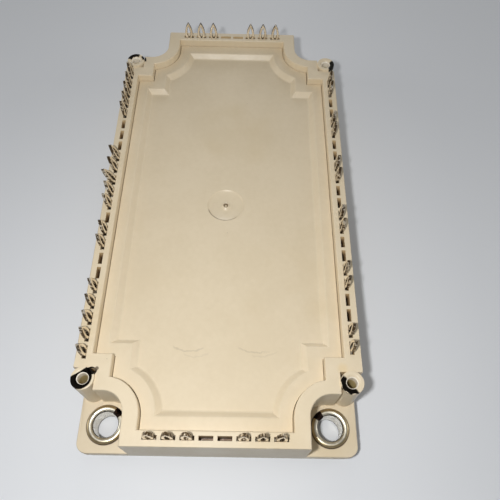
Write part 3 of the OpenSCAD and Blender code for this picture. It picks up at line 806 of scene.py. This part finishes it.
def outline(shape, inset, z):
    """One closed outline in millimetres, moved inwards by inset, at height z."""
    side, neck = shape["side"] - inset, shape["neck"] - inset
    step, end = shape["step"] - inset, shape["end"] - inset
    centre_x, centre_y, radius = shape["arc"][0], shape["arc"][1], shape["arc"][2] + inset
    start = math.acos((neck - centre_x) / radius)
    straight = end > centre_y + 0.01
    stop = math.pi if straight else math.pi - math.asin((centre_y - end) / radius)
    steps = ARC_STEPS - 1 if straight else ARC_STEPS
    turns = [start + (stop - start) * k / steps for k in range(steps + 1)]
    corner = [(centre_x + radius * math.cos(t), centre_y - radius * math.sin(t)) for t in turns]
    if straight:
        corner.append((centre_x - radius, end))
    quarter = ([(side, step * share) for share in SIDE_SHARES] + [(side, step), (neck, step)]
               + corner + [(corner[-1][0] * share, end) for share in END_SHARES])
    back = quarter[::-1]
    whole = (quarter[:-1] + [(-x, y) for x, y in back[:-1]]
             + [(-x, -y) for x, y in quarter[:-1]] + [(x, -y) for x, y in back[:-1]])
    return [Vector((x, y, z)) * MM for x, y in whole]


def round_ring(guide, radius, z):
    """A circle whose points lie in the same directions as those of the guide ring."""
    return [Vector((radius * MM * p.x / p.xy.length,
                    radius * MM * p.y / p.xy.length + GATE_Y * MM, z * MM)) for p in guide]


print("points on each ring:", len(outline(OPENING, 0, 0)), len(outline(DISH, 0.5, 0)))

# %% [markdown]
# The rings run from the underside, round the plate's edge, over the rim, down the dish's
# wall and across the floor to the gate mark. That mark is left where the mould's runner
# was broken off: a shallow round hollow with a tiny crater in its middle.

# %% The rings of the lid
PLATE_EDGE, DISH_DEPTH, UNDERSIDE_INSET = 1.5, 1.5, -1.1
DISH_WALL = [(-0.35, 0), (-0.18, 0.03), (-0.02, 0.12), (0.12, 0.25), (1.02, 1.22), (1.18, 1.37),
             (1.36, 1.46), (1.55, 1.5)]  # inset and fall
GATE = [(4.8, 0), (4.7, -0.1), (4.3, -0.28), (3.6, -0.5), (2.8, -0.66), (2.0, -0.75),
        (1.3, -0.78), (1.05, -0.66), (0.68, -0.26), (0.52, -0.22), (0.3, -0.6)]  # radius, lift
lid_low, lid_high = [Vector(corner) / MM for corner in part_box("lid")]
rim_z, seat_z, dish_z = lid_high.z, lid_high.z - PLATE_EDGE, lid_high.z - DISH_DEPTH
rings = [outline(DISH, UNDERSIDE_INSET, lid_low.z), outline(DISH, UNDERSIDE_INSET, seat_z),
         outline(OPENING, 0, seat_z), outline(OPENING, 0, rim_z - 0.12),
         outline(OPENING, 0.04, rim_z - 0.04), outline(OPENING, 0.12, rim_z)]
rings += [outline(DISH, inset, rim_z - fall) for inset, fall in DISH_WALL]
floor_ring = rings[-1]
rings += [round_ring(floor_ring, radius, dish_z + lift) for radius, lift in GATE]


def lay(piece, old, new):
    """Moves the selected points of a ring from their old places to their new ones."""
    mesh = bmesh.from_edit_mesh(piece.data)
    for vert in [v for v in mesh.verts if v.select]:
        nearest = min(range(len(old)), key=lambda k: (old[k] - vert.co).length_squared)
        vert.co = new[nearest]
    bmesh.update_edit_mesh(piece.data)


print("rings from the underside to the crater:", len(rings))

# %% Extruding the lid ring by ring
deselect_all()
bpy.ops.mesh.primitive_circle_add(vertices=len(rings[0]), radius=0.05, fill_type="NOTHING")
lid = bpy.context.object
lid.name = "moulded_lid"
circle = [v.co.copy() for v in lid.data.vertices]
edit(lid)
bpy.ops.mesh.select_all(action="SELECT")
lay(lid, circle, rings[0])
for old, new in zip(rings, rings[1:]):
    bpy.ops.mesh.extrude_edges_move()
    lay(lid, old, new)
bpy.ops.mesh.edge_face_add()
bpy.ops.mesh.select_all(action="DESELECT")
bpy.ops.mesh.select_non_manifold()
bpy.ops.mesh.edge_face_add()
bpy.ops.mesh.select_all(action="SELECT")
bpy.ops.mesh.normals_make_consistent(inside=False)
bpy.ops.object.mode_set(mode="OBJECT")
finish_piece(lid, "lid", lid_plastic)
print("lid faces:", len(lid.data.polygons))

# %% [markdown]
# ## Base plate, bushes and pins
# These keep the CAD's shapes. Only the edges that catch light are softened: the plate's
# upper edges and the tips of the pins. The bushes stay as they are.

# %% Base plate
PLATE_TOP_Z = 3
plate_copy = copy_of("baseplate", "plated_base_plate")
rounded = round_edges(plate_copy, 0.2,
                      lambda m, edge: abs(m.z - PLATE_TOP_Z) < 0.05 and edge.is_convex)
finish_piece(plate_copy, "baseplate", base_metal)
print("base plate edges rounded:", rounded)

# %% Bushes
bushes = [n for n in nodes if n.startswith("mounting_bush")]
for node in bushes:
    bush = copy_of(node, node.replace("mounting_bush", "rolled_bush"))
    finish_piece(bush, node, bush_metal)
print("bushes dressed:", len(bushes))

# %% Pins
PIN_TIPS_FROM_Z = 15
pins = [n for n in nodes if n.startswith("pins_")]
for node in pins:
    pin_copy = copy_of(node, node.replace("pins", "tinned_pins"))
    round_edges(pin_copy, 0.07, lambda m, edge: m.z > PIN_TIPS_FROM_Z, segments=1)
    finish_piece(pin_copy, node, pin_metal)
print("groups of pins dressed:", len(pins))

# %% [markdown]
# ## The floor
# A wide pale sheet under the module catches its shadow. A pale floor throws much light up
# against the walls; here it looks pale but throws less, so that the walls keep their shade.

# %% Floor
FLOOR_SIZE, FLOOR_DROP = 6, 0.00002
deselect_all()
bpy.ops.mesh.primitive_plane_add(size=FLOOR_SIZE, location=(0, 0, -FLOOR_DROP))
floor = bpy.context.object
floor.name = "pale_floor"
material, net, surface, place = new_material("pale_floor")
surface.inputs["Roughness"].default_value = 0.6
path = net.node("ShaderNodeLightPath").outputs
seen = net.math("MAXIMUM", path["Is Camera Ray"], path["Is Glossy Ray"])
seen = net.math("MAXIMUM", seen, path["Is Transmission Ray"])
net.feed(surface.inputs["Base Color"],
         net.blend(seen, linear(122, 125, 129), linear(230, 232, 235)))
floor.data.materials.append(material)
print("floor laid")
